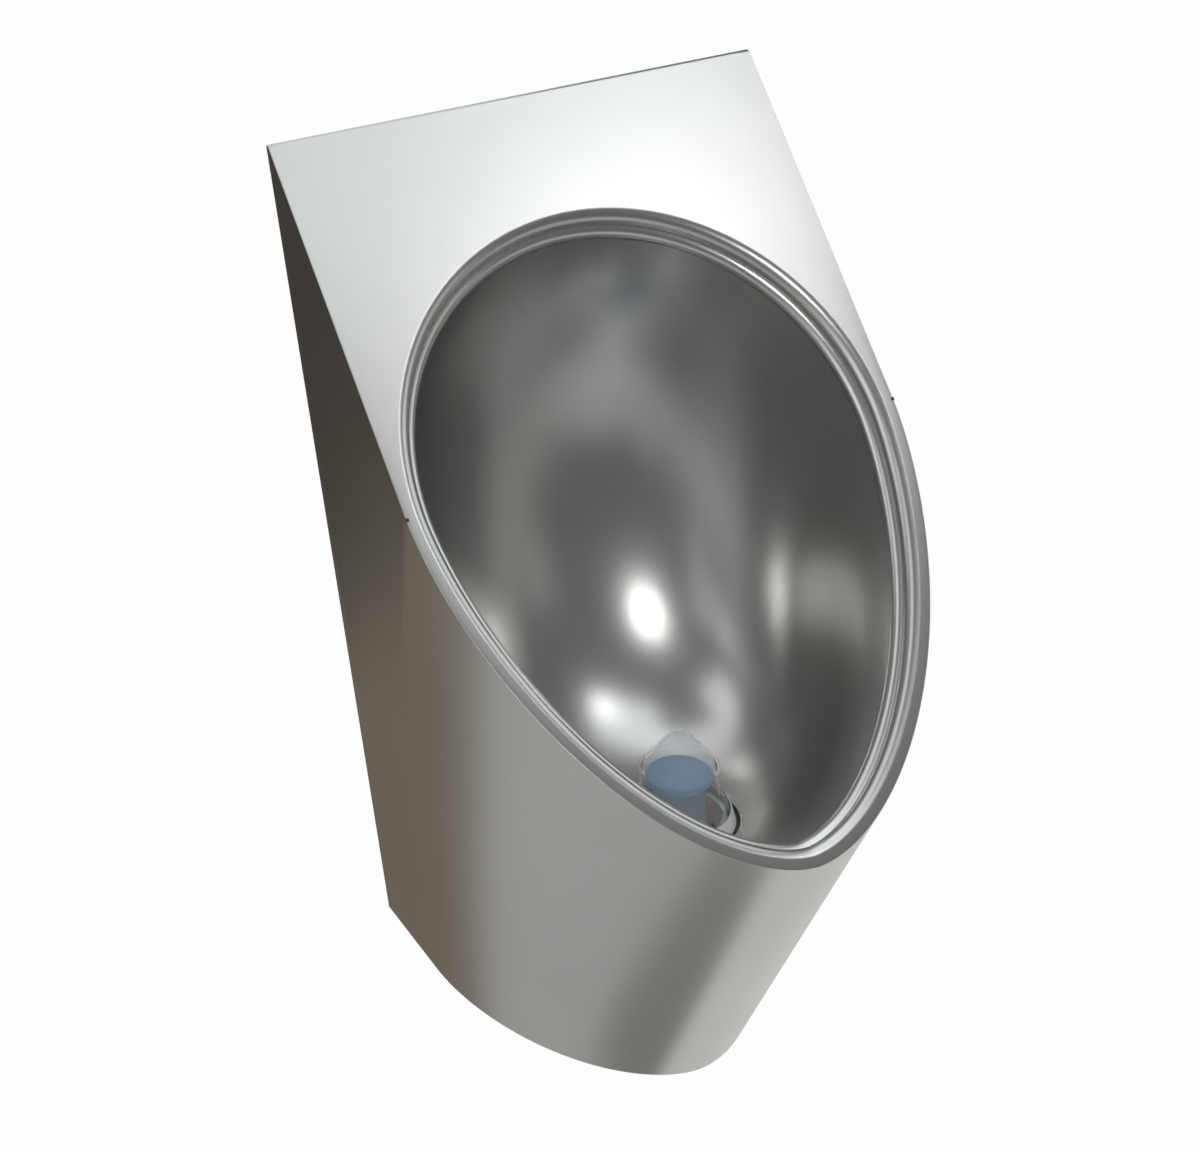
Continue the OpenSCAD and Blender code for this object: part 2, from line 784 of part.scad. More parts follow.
module trap_cup() {
    floor_z = -cup_l + cup_wall;
    color([0.93, 0.93, 0.92]) at_drain() turned([
        [collar_r, -flange_drop],
        [collar_top_r, collar_h],
        [collar_top_r - collar_edge, collar_h],
        [collar_top_r - collar_edge, ledge_h],
        [cup_in_r, ledge_h],
        [cup_in_r, float_low - seat_gap],
        [cup_in_r - float_step, float_low - seat_gap],
        [cup_in_r - float_step, floor_z],
        [riser_r + running_gap, floor_z],
        [riser_r + running_gap, -cup_l],
        [cup_r, -cup_l],
        [cup_r, -flange_drop]
    ]);
}

seal_lip_h = 3;
seal_places = [-20, -40];

module cup_seals() {
    color([0.05, 0.05, 0.05]) at_drain() for (z = seal_places) {
        ring(cup_r, socket_bore_r - running_gap, z, z + seal_lip_h);
    }
}

module riser_tube() {
    color([0.9, 0.9, 0.9]) at_drain() ring(riser_r - riser_wall, riser_r, -cup_l - riser_tail, riser_top);
}

bell_wall = 1.5;
bell_low = -48;
block_t = 5.5;
arm_count = 3;
arm_first_angle = 33;
arm_w = 4;
arm_t = 2;
arm_r = 32;
fin_first_angle = -27;
fin_w = 3.6;
fin_t = 2.4;
fin_r = 20.4;
fin_top = 12;
float_h = 8;
bell_top = block_h - block_t;

module trap_bell() {
    color([0.55, 0.68, 0.8, 0.5]) at_drain() {
        turned([
            [bell_r - bell_wall, bell_low],
            [bell_r, bell_low],
            [bell_r, bell_top],
            [0, bell_top],
            [0, bell_top - bell_wall],
            [bell_r - bell_wall, bell_top - bell_wall]
        ]);
        for (i = [0 : arm_count - 1]) {
            rotate(arm_first_angle + 360 * i / arm_count)
                translate([bell_r - bell_wall / 2, -arm_w / 2, ledge_h])
                    cube([arm_r - bell_r + bell_wall / 2, arm_w, arm_t]);
        }
    }
}

lug_w = 4;
lug_h = 7;
lug_proud = 1;
block_chamfer = 0.8;

module cleaning_block() {
    color([0.2, 0.42, 0.72]) at_drain() {
        turned([
            [0, bell_top],
            [block_r - block_chamfer, bell_top],
            [block_r, bell_top + block_chamfer],
            [block_r, block_h - block_chamfer],
            [block_r - block_chamfer, block_h],
            [0, block_h]
        ]);
        rotate(fin_first_angle) translate([block_r - lug_w / 2, -lug_w / 2, block_h - lug_h])
            cube([lug_w / 2 + lug_proud, lug_w, lug_h]);
    }
}

module float_ring() {
    color([0.75, 0.2, 0.2]) at_drain() {
        ring(fin_r, cup_in_r - float_gap, float_low, float_low + float_h);
        for (i = [0 : arm_count - 1]) {
            rotate(fin_first_angle + 360 * i / arm_count)
                translate([fin_r, -fin_w / 2, float_low + float_h / 2])
                    cube([fin_t, fin_w, fin_top - float_low - float_h / 2]);
        }
    }
}

cap_shoulder_h = 43;
cap_step_h = 1.8;
cap_step = 2;
cap_waist_h = 20;
cap_waist_r = 28.3;
cap_foot_r = 34.6;
cap_foot_h = 11;
slot_w = 4;
slot_low = 7;
slot_high = 14;

module clear_cap() {
    low = ledge_h;
    color([0.85, 0.9, 0.93, 0.35]) at_drain() difference() {
        turned([
            [0, cap_h],
            [cap_top_r, cap_h],
            [cap_r, cap_shoulder_h],
            [cap_r, cap_shoulder_h - cap_step_h],
            [cap_r - cap_step, cap_shoulder_h - cap_step_h],
            [cap_waist_r, cap_waist_h],
            [cap_foot_r, cap_foot_h],
            [cap_foot_r, low],
            [cap_foot_r - cap_wall, low],
            [cap_foot_r - cap_wall, cap_foot_h - cap_wall / 2],
            [cap_waist_r - cap_wall, cap_waist_h],
            [cap_r - cap_step - cap_wall, cap_shoulder_h - cap_step_h - cap_wall],
            [cap_r - cap_step - cap_wall, cap_shoulder_h],
            [cap_top_r, cap_h - cap_wall],
            [0, cap_h - cap_wall]
        ]);
        for (i = [0 : slot_count - 1]) {
            rotate(360 * (i + 0.5) / slot_count)
                translate([cap_waist_r - cap_wall, -slot_w / 2, slot_low])
                    cube([cap_foot_r, slot_w, slot_high - slot_low]);
        }
    }
}

front_panel();
side_skirt();
bowl();
sound_pads();
hanger_rail();
wall_bracket();
lower_rail();
cover_tabs();
bottom_cover();
cover_screws();
trap_socket();
socket_gasket();
slip_ring();
socket_nut();
outlet_elbow();
union_seal();
union_nut();
outlet_pipe();
pipe_seal();
trap_cup();
cup_seals();
riser_tube();
trap_bell();
cleaning_block();
float_ring();
clear_cap();
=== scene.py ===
# %% [markdown]
# This lesson dresses a wall-hung waterless urinal in satin stainless steel. The real one is a slanted
# front panel with a rolled opening, a side sheet bent round a nose, a deep-drawn bowl, and a lift-out
# trap under a clear cap. The imported CAD model comes first as a fixed frame.

# %% Load the frame
import math

import bmesh
import bpy
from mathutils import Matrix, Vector


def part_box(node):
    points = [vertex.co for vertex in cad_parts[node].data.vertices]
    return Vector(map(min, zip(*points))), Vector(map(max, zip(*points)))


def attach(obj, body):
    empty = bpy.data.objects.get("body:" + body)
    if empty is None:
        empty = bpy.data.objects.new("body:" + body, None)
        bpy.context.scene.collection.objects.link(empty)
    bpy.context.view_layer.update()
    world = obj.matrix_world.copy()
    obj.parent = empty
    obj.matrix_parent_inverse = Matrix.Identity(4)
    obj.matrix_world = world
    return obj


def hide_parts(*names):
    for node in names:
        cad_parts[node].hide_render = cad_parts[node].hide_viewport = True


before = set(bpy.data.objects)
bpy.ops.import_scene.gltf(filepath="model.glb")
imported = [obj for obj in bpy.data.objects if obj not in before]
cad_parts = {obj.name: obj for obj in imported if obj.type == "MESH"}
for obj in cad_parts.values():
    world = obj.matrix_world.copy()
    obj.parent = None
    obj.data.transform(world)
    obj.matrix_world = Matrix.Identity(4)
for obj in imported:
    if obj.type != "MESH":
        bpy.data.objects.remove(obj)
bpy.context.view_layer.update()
print("nodes in the frame:", len(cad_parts))

# %% [markdown]
# The camera comes next, because every look is judged through it. Its place and turn were found by
# fitting the panel's corners, the rim and the lower edge to the photograph, so the whole object lies
# where the photograph shows it. A long lens keeps the object's edges nearly parallel.

# %% Camera
PHOTO_W = 1200
FOCAL_PX = 3412.48
SENSOR_MM = 36.0
CAMERA_PLACE = Vector((-0.90102, -1.87410, 1.44027))
CAMERA_YAW = 0.475226
CAMERA_PITCH = 0.538640


def make_camera():
    """The camera at the photograph's place, turned by its yaw and pitch."""
    data = bpy.data.cameras.new("photo_camera")
    data.sensor_fit = "HORIZONTAL"
    data.sensor_width = SENSOR_MM
    data.lens = FOCAL_PX / PHOTO_W * SENSOR_MM
    camera = bpy.data.objects.new("photo_camera", data)
    camera.location = CAMERA_PLACE
    camera.rotation_euler = (math.pi / 2 - CAMERA_PITCH, 0, -CAMERA_YAW)
    bpy.context.collection.objects.link(camera)
    bpy.context.scene.camera = camera
    return camera


bpy.context.scene.view_settings.view_transform = "Standard"
camera = make_camera()
print("lens in mm:", round(camera.data.lens, 2))

# %% [markdown]
# The studio is a pale floor under a white world. Satin steel shows what stands round it, so the
# world's level in reflections is low, and the steel gets its bright and dark bands from three soft
# lamps and from cards that only reflections see. The key lamp and the small spot lamp hang above on
# the right, and the camera lamp near the camera. Pale cards stand behind, left and right and hang
# above, for the panel, the rim and the bowl. Two greyer ones stand at the front corners, and two dim
# ones low in front and on the right. On the floor lie a pale card for the foot, a grey one for its
# shaded strip, and two dark ones behind the left side. The world and the floor turn white for the
# camera by Light Path, and the floor keeps the shadow.

# %% Stage
FLOOR_DROP = 0.30
FLOOR_SIZE = 14.0
FLOOR_PAINT = (0.8, 0.8, 0.79)
FLOOR_GLOW_SEEN = 0.97
FLOOR_GLOW_MIRRORED = 0.1
CARD_LIFT = 0.004
COOL_WHITE = (0.93, 0.985, 1.0)
skirt_low, skirt_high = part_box("side_skirt")
floor_z = skirt_low[2] - FLOOR_DROP


def light_path_mix(nodes, links, camera_share, mirror_share):
    """A number that is camera_share for camera rays and mirror_share for rays off metal or glass."""
    path = nodes.new("ShaderNodeLightPath")
    seen = nodes.new("ShaderNodeMath")
    seen.operation = "MULTIPLY"
    seen.inputs[1].default_value = camera_share
    links.new(path.outputs["Is Camera Ray"], seen.inputs[0])
    mirrored = nodes.new("ShaderNodeMath")
    mirrored.operation = "MAXIMUM"
    links.new(path.outputs["Is Glossy Ray"], mirrored.inputs[0])
    links.new(path.outputs["Is Transmission Ray"], mirrored.inputs[1])
    scaled = nodes.new("ShaderNodeMath")
    scaled.operation = "MULTIPLY_ADD"
    scaled.inputs[1].default_value = mirror_share
    links.new(mirrored.outputs[0], scaled.inputs[0])
    links.new(seen.outputs[0], scaled.inputs[2])
    return scaled.outputs[0]


def make_world(fill, mirrored):
    """White for the camera, a set level in reflections, and a soft fill for everything else."""
    world = bpy.data.worlds.new("studio")
    world.use_nodes = True
    nodes, links = world.node_tree.nodes, world.node_tree.links
    back = nodes["Background"]
    back.inputs["Color"].default_value = (1, 1, 1, 1)
    share = light_path_mix(nodes, links, 1.0 - fill, mirrored - fill)
    level = nodes.new("ShaderNodeMath")
    level.operation = "ADD"
    level.inputs[1].default_value = fill
    links.new(share, level.inputs[0])
    links.new(level.outputs[0], back.inputs["Strength"])
    bpy.context.scene.world = world


def make_floor():
    """A pale floor that the camera sees as nearly white, with the object's shadow left on it."""
    bm = bmesh.new()
    bmesh.ops.create_grid(bm, x_segments=1, y_segments=1, size=FLOOR_SIZE / 2)
    bmesh.ops.translate(bm, verts=bm.verts, vec=(0, 0, floor_z))
    mesh = bpy.data.meshes.new("floor")
    bm.to_mesh(mesh)
    bm.free()
    floor = bpy.data.objects.new("floor", mesh)
    bpy.context.collection.objects.link(floor)
    material = bpy.data.materials.new("pale_floor")
    material.use_nodes = True
    nodes, links = material.node_tree.nodes, material.node_tree.links
    paint = nodes["Principled BSDF"]
    paint.inputs["Base Color"].default_value = (*FLOOR_PAINT, 1)
    paint.inputs["Roughness"].default_value = 0.9
    glow = nodes.new("ShaderNodeEmission")
    glow.inputs["Color"].default_value = (1, 1, 1, 1)
    mix = nodes.new("ShaderNodeMixShader")
    share = light_path_mix(nodes, links, FLOOR_GLOW_SEEN, FLOOR_GLOW_MIRRORED)
    links.new(share, mix.inputs["Fac"])
    links.new(paint.outputs[0], mix.inputs[1])
    links.new(glow.outputs[0], mix.inputs[2])
    links.new(mix.outputs[0], nodes["Material Output"].inputs["Surface"])
    mesh.materials.append(material)


def make_card(name, centre, across, up, width, height, tone):
    """A plain card that only reflections see."""
    across = Vector(across).normalized()
    up = Vector(up).normalized()
    bm = bmesh.new()
    bmesh.ops.create_grid(bm, x_segments=1, y_segments=1, size=0.5)
    for vert in bm.verts:
        vert.co = Vector(centre) + across * vert.co.x * width + up * vert.co.y * height
    mesh = bpy.data.meshes.new(name)
    bm.to_mesh(mesh)
    bm.free()
    card = bpy.data.objects.new(name, mesh)
    bpy.context.collection.objects.link(card)
    material = bpy.data.materials.new(name)
    material.use_nodes = True
    nodes, links = material.node_tree.nodes, material.node_tree.links
    glow = nodes.new("ShaderNodeEmission")
    glow.inputs["Color"].default_value = (*tone, 1)
    links.new(glow.outputs[0], nodes["Material Output"].inputs["Surface"])
    mesh.materials.append(material)
    card.visible_camera = False
    card.visible_diffuse = False
    card.visible_shadow = False
    card.visible_transmission = False


def make_lamp(name, place, target, size, power, tone=(1, 1, 1)):
    """A square soft lamp turned towards a target."""
    data = bpy.data.lights.new(name, "AREA")
    data.shape = "SQUARE"
    data.size = size
    data.energy = power
    data.color = tone
    lamp = bpy.data.objects.new(name, data)
    lamp.location = place
    lamp.rotation_euler = (Vector(target) - Vector(place)).to_track_quat("-Z", "Y").to_euler()
    bpy.context.collection.objects.link(lamp)


make_world(fill=0.5, mirrored=0.16)
make_floor()
ALONG_X = (1, 0, 0)
ALONG_Y = (0, 1, 0)
UPRIGHT = (0, 0, 1)
TURNED_LEFT = (0.54, -0.84, 0)
TURNED_RIGHT = (0.54, 0.84, 0)
SLANT_ALONG = (-0.735, 0.678, 0)
SLANT_ACROSS = (0.678, 0.735, 0)
near_floor = floor_z + CARD_LIFT
above_floor = floor_z + 2 * CARD_LIFT
# Each row: name, centre, across, up, width, height, tone.
CARDS = (
    ("back_card", (-1.0, 1.6, 1.1), ALONG_X, UPRIGHT, 3.6, 1.5, (0.95, 0.95, 0.95)),
    ("left_card", (-1.9, 0.05, 1.2), ALONG_Y, UPRIGHT, 1.9, 1.3, (1.12, 1.15, 1.17)),
    ("right_high_card", (1.9, 0.25, 1.4), ALONG_Y, UPRIGHT, 1.9, 1.4, (1.05, 1.09, 1.12)),
    ("ceiling_card", (0.62, 0.75, 2.12), ALONG_X, ALONG_Y, 1.15, 1.3, (1.35, 1.39, 1.42)),
    ("top_card", (-0.35, 0.65, 2.45), ALONG_X, ALONG_Y, 1.5, 1.4, (1.0, 1.02, 1.03)),
    ("high_left_card", (-1.15, -0.1, 2.1), ALONG_X, ALONG_Y, 0.8, 1.0, (1.1, 1.12, 1.14)),
    ("left_front_card", (-1.85, -1.2, 1.1), TURNED_LEFT, UPRIGHT, 0.9, 1.5, (0.6, 0.6, 0.59)),
    ("right_front_card", (1.85, -1.15, 1.1), TURNED_RIGHT, UPRIGHT, 0.9, 1.1, (0.6, 0.6, 0.59)),
    ("front_card", (0.1, -2.9, 0.45), ALONG_X, UPRIGHT, 2.6, 1.4, (0.14, 0.14, 0.14)),
    ("right_card", (2.2, 0.2, 0.32), ALONG_Y, UPRIGHT, 2.2, 0.85, (0.12, 0.12, 0.12)),
    ("foot_card", (0.34, -0.05, near_floor), ALONG_X, ALONG_Y, 0.72, 1.1, (0.72, 0.72, 0.70)),
    ("shade_card", (-0.11, -0.36, near_floor), ALONG_X, ALONG_Y, 0.20, 0.34, (0.25, 0.25, 0.24)),
    (
        "dim_card", (-0.749, 0.905, above_floor), SLANT_ALONG, SLANT_ACROSS, 2.6, 0.55,
        (0.19, 0.16, 0.125)),
    (
        "dark_card", (0.339, 2.085, above_floor), SLANT_ALONG, SLANT_ACROSS, 2.6, 2.66,
        (0.03, 0.026, 0.02)),
)
for card in CARDS:
    make_card(*card)
make_lamp("key_lamp", (0.63, -0.34, 2.1), (0, -0.2, 0.3), 1.0, 3.45, COOL_WHITE)
make_lamp("spot_lamp", (0.86, -0.74, 2.1), (0, -0.2, 0.2), 0.30, 1.0)
make_lamp("camera_lamp", (-0.60, -1.95, 1.85), (0.05, -0.15, 0.2), 0.48, 6.5)
print("floor height:", round(floor_z, 3))

# %% [markdown]
# A material here is one Principled shader fed by two noises in Object coordinates. The coarse one
# shifts the colour a little, as handling and rolling do, and the fine one is the grain of the
# surface, which shifts the roughness and is felt as bump. Each finish then differs only in its own
# numbers, and everything that is the same all over is set on the shader's own sockets.

# %% Material helper
NOISE_LOW = 0.3
NOISE_HIGH = 0.7
COARSE_DETAIL = 5
FINE_DETAIL = 3


def make_material(
        name, dark, light, rough, cloud=9.0, grain=900.0, bump=0.1, depth=0.0001,
        stretch=(1, 1, 1), **own):
    """A coarse noise runs the colour from dark to light; a fine one spreads roughness and bump."""
    material = bpy.data.materials.new(name)
    material.use_nodes = True
    nodes, links = material.node_tree.nodes, material.node_tree.links
    shader = nodes["Principled BSDF"]
    place = nodes.new("ShaderNodeTexCoord")
    mapping = nodes.new("ShaderNodeMapping")
    mapping.inputs["Scale"].default_value = stretch
    links.new(place.outputs["Object"], mapping.inputs["Vector"])
    coarse = nodes.new("ShaderNodeTexNoise")
    coarse.inputs["Scale"].default_value = cloud
    coarse.inputs["Detail"].default_value = COARSE_DETAIL
    fine = nodes.new("ShaderNodeTexNoise")
    fine.inputs["Scale"].default_value = grain
    fine.inputs["Detail"].default_value = FINE_DETAIL
    for noise in (coarse, fine):
        links.new(mapping.outputs["Vector"], noise.inputs["Vector"])
    ramp = nodes.new("ShaderNodeValToRGB")
    ramp.color_ramp.elements[0].position = NOISE_LOW
    ramp.color_ramp.elements[1].position = NOISE_HIGH
    ramp.color_ramp.elements[0].color = (*dark, 1)
    ramp.color_ramp.elements[1].color = (*light, 1)
    links.new(coarse.outputs["Fac"], ramp.inputs["Fac"])
    links.new(ramp.outputs["Color"], shader.inputs["Base Color"])
    spread = nodes.new("ShaderNodeMapRange")
    spread.inputs["From Min"].default_value = NOISE_LOW
    spread.inputs["From Max"].default_value = NOISE_HIGH
    spread.inputs["To Min"].default_value = rough[0]
    spread.inputs["To Max"].default_value = rough[1]
    links.new(fine.outputs["Fac"], spread.inputs["Value"])
    links.new(spread.outputs["Result"], shader.inputs["Roughness"])
    relief = nodes.new("ShaderNodeBump")
    relief.inputs["Strength"].default_value = bump
    relief.inputs["Distance"].default_value = depth
    links.new(fine.outputs["Fac"], relief.inputs["Height"])
    links.new(relief.outputs["Normal"], shader.inputs["Normal"])
    for socket, value in own.items():
        shader.inputs[socket.replace("_", " ")].default_value = value
    return material


def dress(material, *names):
    """Gives a finish to CAD nodes that stay in view."""
    for name in names:
        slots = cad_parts[name].material_slots
        if not slots:
            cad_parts[name].data.materials.append(material)
        for slot in slots:
            slot.material = material


# %% [markdown]
# The steel is satin: a very fine, even grain with no direction, which blurs every reflection.
# The panel, the side sheet and the bowl are the same sheet, but the bowl's copy is a little smoother
# and painted a little lighter; the lighter colour is painted light that brightens the bowl's
# reflections. The rails behind are plain rolled steel, a little duller and streaked along their length.

# %% Steel finishes
satin_steel = make_material(
    "satin_steel", (0.57, 0.568, 0.556), (0.62, 0.618, 0.606), (0.274, 0.284), cloud=5.0, grain=900.0,
    bump=0.012, Metallic=1.0)
# The bowl's copy of the steel is painted lighter than the shell's, as painted light that brightens the
# bowl's reflections.
bowl_steel = make_material(
    "bowl_steel", (0.61, 0.608, 0.595), (0.65, 0.648, 0.635), (0.261, 0.269), cloud=7.0, grain=900.0,
    bump=0.012, Metallic=1.0)
rolled_steel = make_material(
    "rolled_steel", (0.42, 0.43, 0.44), (0.56, 0.57, 0.58), (0.30, 0.45), cloud=14.0, grain=700.0,
    bump=0.15, stretch=(0.12, 1, 1), Metallic=1.0)
screw_steel = make_material(
    "screw_steel", (0.6, 0.6, 0.61), (0.72, 0.72, 0.73), (0.18, 0.28), cloud=60.0, grain=1200.0,
    Metallic=1.0)
# Near black: painted shade for the nicks' pits.
painted_pit_shade = make_material(
    "painted_pit_shade", (0.04, 0.038, 0.035), (0.07, 0.067, 0.062), (0.6, 0.8), cloud=200.0)
dress(rolled_steel, "hanger_rail", "wall_bracket", "lower_rail", "cover_tabs")
dress(screw_steel, "cover_screws")
dress(satin_steel, "bottom_cover")
print("steel finishes made")

# %% [markdown]
# The drain parts are moulded plastics and rubber. Black and white mouldings get a soft gloss and a
# faint spark-eroded grain, the pipe has fine lines along its length from the extruder, the mats are
# rough bitumen, and the clear parts let light through with little tint.

# %% Plastic, rubber and mat finishes
black_plastic = make_material(
    "black_plastic", (0.018, 0.018, 0.018), (0.03, 0.03, 0.03), (0.32, 0.5), cloud=30.0, grain=1100.0,
    bump=0.2)
grey_plastic = make_material(
    "grey_plastic", (0.14, 0.15, 0.155), (0.18, 0.185, 0.19), (0.3, 0.42), cloud=20.0, grain=600.0,
    bump=0.12, stretch=(1, 0.05, 1))
white_plastic = make_material(
    "white_plastic", (0.78, 0.785, 0.78), (0.85, 0.85, 0.845), (0.28, 0.38), cloud=25.0, grain=900.0,
    bump=0.06, Subsurface_Weight=0.08, Subsurface_Scale=0.002)
seal_rubber = make_material(
    "seal_rubber", (0.012, 0.012, 0.012), (0.025, 0.025, 0.025), (0.55, 0.75), cloud=60.0, grain=1400.0,
    bump=0.3)
damping_mat = make_material(
    "damping_mat", (0.02, 0.02, 0.02), (0.05, 0.048, 0.045), (0.75, 0.95), cloud=80.0, grain=350.0,
    bump=0.6, depth=0.0006)
blue_block = make_material(
    "blue_block", (0.24, 0.46, 0.74), (0.32, 0.55, 0.82), (0.5, 0.7), cloud=160.0, grain=900.0,
    bump=0.35, depth=0.0003)
red_plastic = make_material(
    "red_plastic", (0.50, 0.07, 0.07), (0.58, 0.10, 0.10), (0.25, 0.38), cloud=40.0, grain=800.0,
    bump=0.08)
blue_clear_plastic = make_material(
    "blue_clear_plastic", (0.58, 0.70, 0.86), (0.66, 0.77, 0.91), (0.28, 0.31), cloud=40.0,
    grain=500.0, bump=0.01, Transmission_Weight=0.55, IOR=1.05)
clear_plastic = make_material(
    "clear_plastic", (0.93, 0.95, 0.96), (0.97, 0.98, 0.985), (0.14, 0.2), cloud=30.0, grain=400.0,
    bump=0.02, Transmission_Weight=0.88, IOR=1.025)
dress(black_plastic, "trap_socket", "socket_nut", "outlet_elbow", "union_nut")
dress(grey_plastic, "outlet_pipe")
dress(white_plastic, "slip_ring", "trap_cup", "riser_tube")
dress(seal_rubber, "socket_gasket", "union_seal", "pipe_seal", "cup_seals")
dress(damping_mat, "sound_pads")
dress(blue_block, "cleaning_block")
dress(red_plastic, "float_ring")
dress(blue_clear_plastic, "trap_bell")
dress(clear_plastic, "clear_cap")
print("plastic finishes made")

# %% [markdown]
# The shell's curves repeat the part's own: the opening is an oval in the slanted plane, an ellipse
# above the folds and a slightly pinched oval below them. Points of that plane are written as across
# and down the slope, and a depth under its face. The driving sizes are in metres.

# %% The slanted plane and its oval
BODY_W = skirt_high[0] - skirt_low[0]
TOP_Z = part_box("front_panel")[1][2]
BASE_Z = skirt_low[2]
SLOPE = math.radians(49.5)
TOP_RETURN = 0.003
FOLD_L = 0.263
NOSE_L = 0.281
NOSE_POWER = 2 * 0.865
RIM_TOP_L = 0.1845
BAND_W = 0.0065
ROLL_R = 0.009
LIP_R = 0.0075
SHEET = 0.0015
BOWL_SHEET = 0.0012
TINY = 1e-6


def oval(t, a, b, power):
    """Polar point of a rounded oval with half axes a and b."""
    r = ((abs(math.cos(t)) / a) ** power + (abs(math.sin(t)) / b) ** power) ** (-1 / power)
    return Vector((r * math.cos(t), r * math.sin(t)))


def oval_normal(p, a, b, power):
    """Outward normal of that oval at its point p."""
    x = math.copysign((abs(p.x) / a) ** (power - 1) / a, p.x)
    y = math.copysign((abs(p.y) / b) ** (power - 1) / b, p.y)
    return Vector((x, y)).normalized()


def rim_point(t, d):
    """Point of the rim in the slanted plane, d inside its outer edge."""
    b, power = (NOSE_L, NOSE_POWER) if math.sin(t) >= -TINY else (RIM_TOP_L, 2)
    p = oval(t, BODY_W / 2, b, power)
    p -= d * oval_normal(p, BODY_W / 2, b, power)
    return Vector((p.x, FOLD_L + p.y))


def edge_point(t):
    """Point of the panel's outer edge: the nose below the folds, a rectangle above them."""
    if math.sin(t) >= -TINY:
        return rim_point(t, 0)
    reach = min(BODY_W / 2 / max(abs(math.cos(t)), TINY), FOLD_L / abs(math.sin(t)))
    return Vector((reach * math.cos(t), FOLD_L + reach * math.sin(t)))


def on_slope(q, depth):
    """Place in space of a point of the slanted plane, at a depth under its face."""
    return Vector((
        q.x,
        -TOP_RETURN - q.y * math.sin(SLOPE) + depth * math.cos(SLOPE),
        TOP_Z - q.y * math.cos(SLOPE) - depth * math.sin(SLOPE)))


print("nose tip:", [round(c, 3) for c in on_slope(edge_point(math.pi / 2), 0)])

# %% [markdown]
# The side sheet is bent from flat steel, so it can only curve along straight lines. Each point of
# the nose is joined to the one point of the lower edge whose tangent meets its own, on the line where
# the panel's plane and the body's lower plane cross. A short search by halves finds that pair.

# %% Bend lines of the side sheet
FOOT_W = 0.222
FOOT_SIDE = 0.086
FOOT_D = 0.269
FOOT_POWER = 2 * 0.905
SIDE_FAN_SHARE = 0.12
SEARCH_STEPS = 40
SEARCH_EDGE = 1e-4
foot_nose = FOOT_D - FOOT_SIDE
slope_reach = (TOP_Z - BASE_Z) / math.cos(SLOPE)
floor_reach = TOP_RETURN + (TOP_Z - BASE_Z) * math.tan(SLOPE)


def rim_hit(t):
    """Where a tangent of the nose meets the line shared by the slanted plane and the lower plane."""
    p = oval(t, BODY_W / 2, NOSE_L, NOSE_POWER)
    g = oval_normal(p, BODY_W / 2, NOSE_L, NOSE_POWER)
    return p.x - (slope_reach - FOLD_L - p.y) * g.y / g.x


def foot_hit(t):
    """The same for a tangent of the lower edge's front."""
    p = oval(t, FOOT_W / 2, foot_nose, FOOT_POWER)
    g = oval_normal(p, FOOT_W / 2, foot_nose, FOOT_POWER)
    return p.x - (floor_reach - FOOT_SIDE - p.y) * g.y / g.x


def halve(low, high, goes_up):
    """The angle where goes_up turns false."""
    for _ in range(SEARCH_STEPS):
        mid = (low + high) / 2
        low, high = (mid, high) if goes_up(mid) else (low, mid)
    return (low + high) / 2


bend_start = halve(SEARCH_EDGE, math.pi / 4, lambda t: rim_hit(t) > FOOT_W / 2)


def foot_point(t):
    """Point of the lower edge that the bend line from the nose's angle t meets, right half."""
    if t < bend_start:
        share = SIDE_FAN_SHARE + (1 - SIDE_FAN_SHARE) * t / bend_start
        return Vector((FOOT_W / 2, -FOOT_SIDE * share, BASE_Z))
    if math.pi / 2 - t < SEARCH_EDGE:
        return Vector((0, -FOOT_D, BASE_Z))
    foot_t = halve(SEARCH_EDGE, math.pi / 2 - SEARCH_EDGE, lambda u: foot_hit(u) > rim_hit(t))
    q = oval(foot_t, FOOT_W / 2, foot_nose, FOOT_POWER)
    return Vector((q.x, -FOOT_SIDE - q.y, BASE_Z))


print("first bend line at degrees:", round(math.degrees(bend_start), 2))

# %% [markdown]
# Small helpers carry the modelling. They start a closed loop of edges, extrude it and move the new
# points to their next ring, round an edge, turn a finished bmesh into a piece, and give a skin its
# thickness. Pushing a loop along ring by ring keeps tidy four-sided faces, which smooth steel needs.

# %% Modelling helpers
MERGE_GAP = 1e-5
BEVEL_STEPS = 3
ORDER_BY_Y = 0.6180339887
ORDER_BY_Z = 0.3141592654


def start_loop(bm, points):
    """A closed loop of edges through the points."""
    verts = [bm.verts.new(p) for p in points]
    for i, vert in enumerate(verts):
        bm.edges.new((vert, verts[(i + 1) % len(verts)]))
    return verts


def loop_edges(bm, verts):
    """The edges of the closed loop through verts, in order."""
    return [bm.edges.get((vert, verts[(i + 1) % len(verts)])) for i, vert in enumerate(verts)]


def extrude(bm, edges):
    """Extrudes the edges and returns the new points and the new edges."""
    grown = bmesh.ops.extrude_edge_only(bm, edges=edges)["geom"]
    verts = [v for v in grown if isinstance(v, bmesh.types.BMVert)]
    return verts, [e for e in grown if isinstance(e, bmesh.types.BMEdge)]


def push_loop(bm, verts, points):
    """Extrudes the loop through verts and moves the new points to the given ones."""
    fresh = set(extrude(bm, loop_edges(bm, verts))[0])
    ring = []
    for vert in verts:
        ring.append(next(e.other_vert(vert) for e in vert.link_edges if e.other_vert(vert) in fresh))
    for vert, point in zip(ring, points):
        vert.co = point
    return ring


def round_edges(bm, edges, radius):
    """A small radius along the edges."""
    bmesh.ops.bevel(
        bm, geom=edges, offset=radius, segments=BEVEL_STEPS, profile=0.5, affect="EDGES", material=-1,
        clamp_overlap=True)


def order_key(place):
    """One number that differs from place to place."""
    return place.x + ORDER_BY_Y * place.y + ORDER_BY_Z * place.z


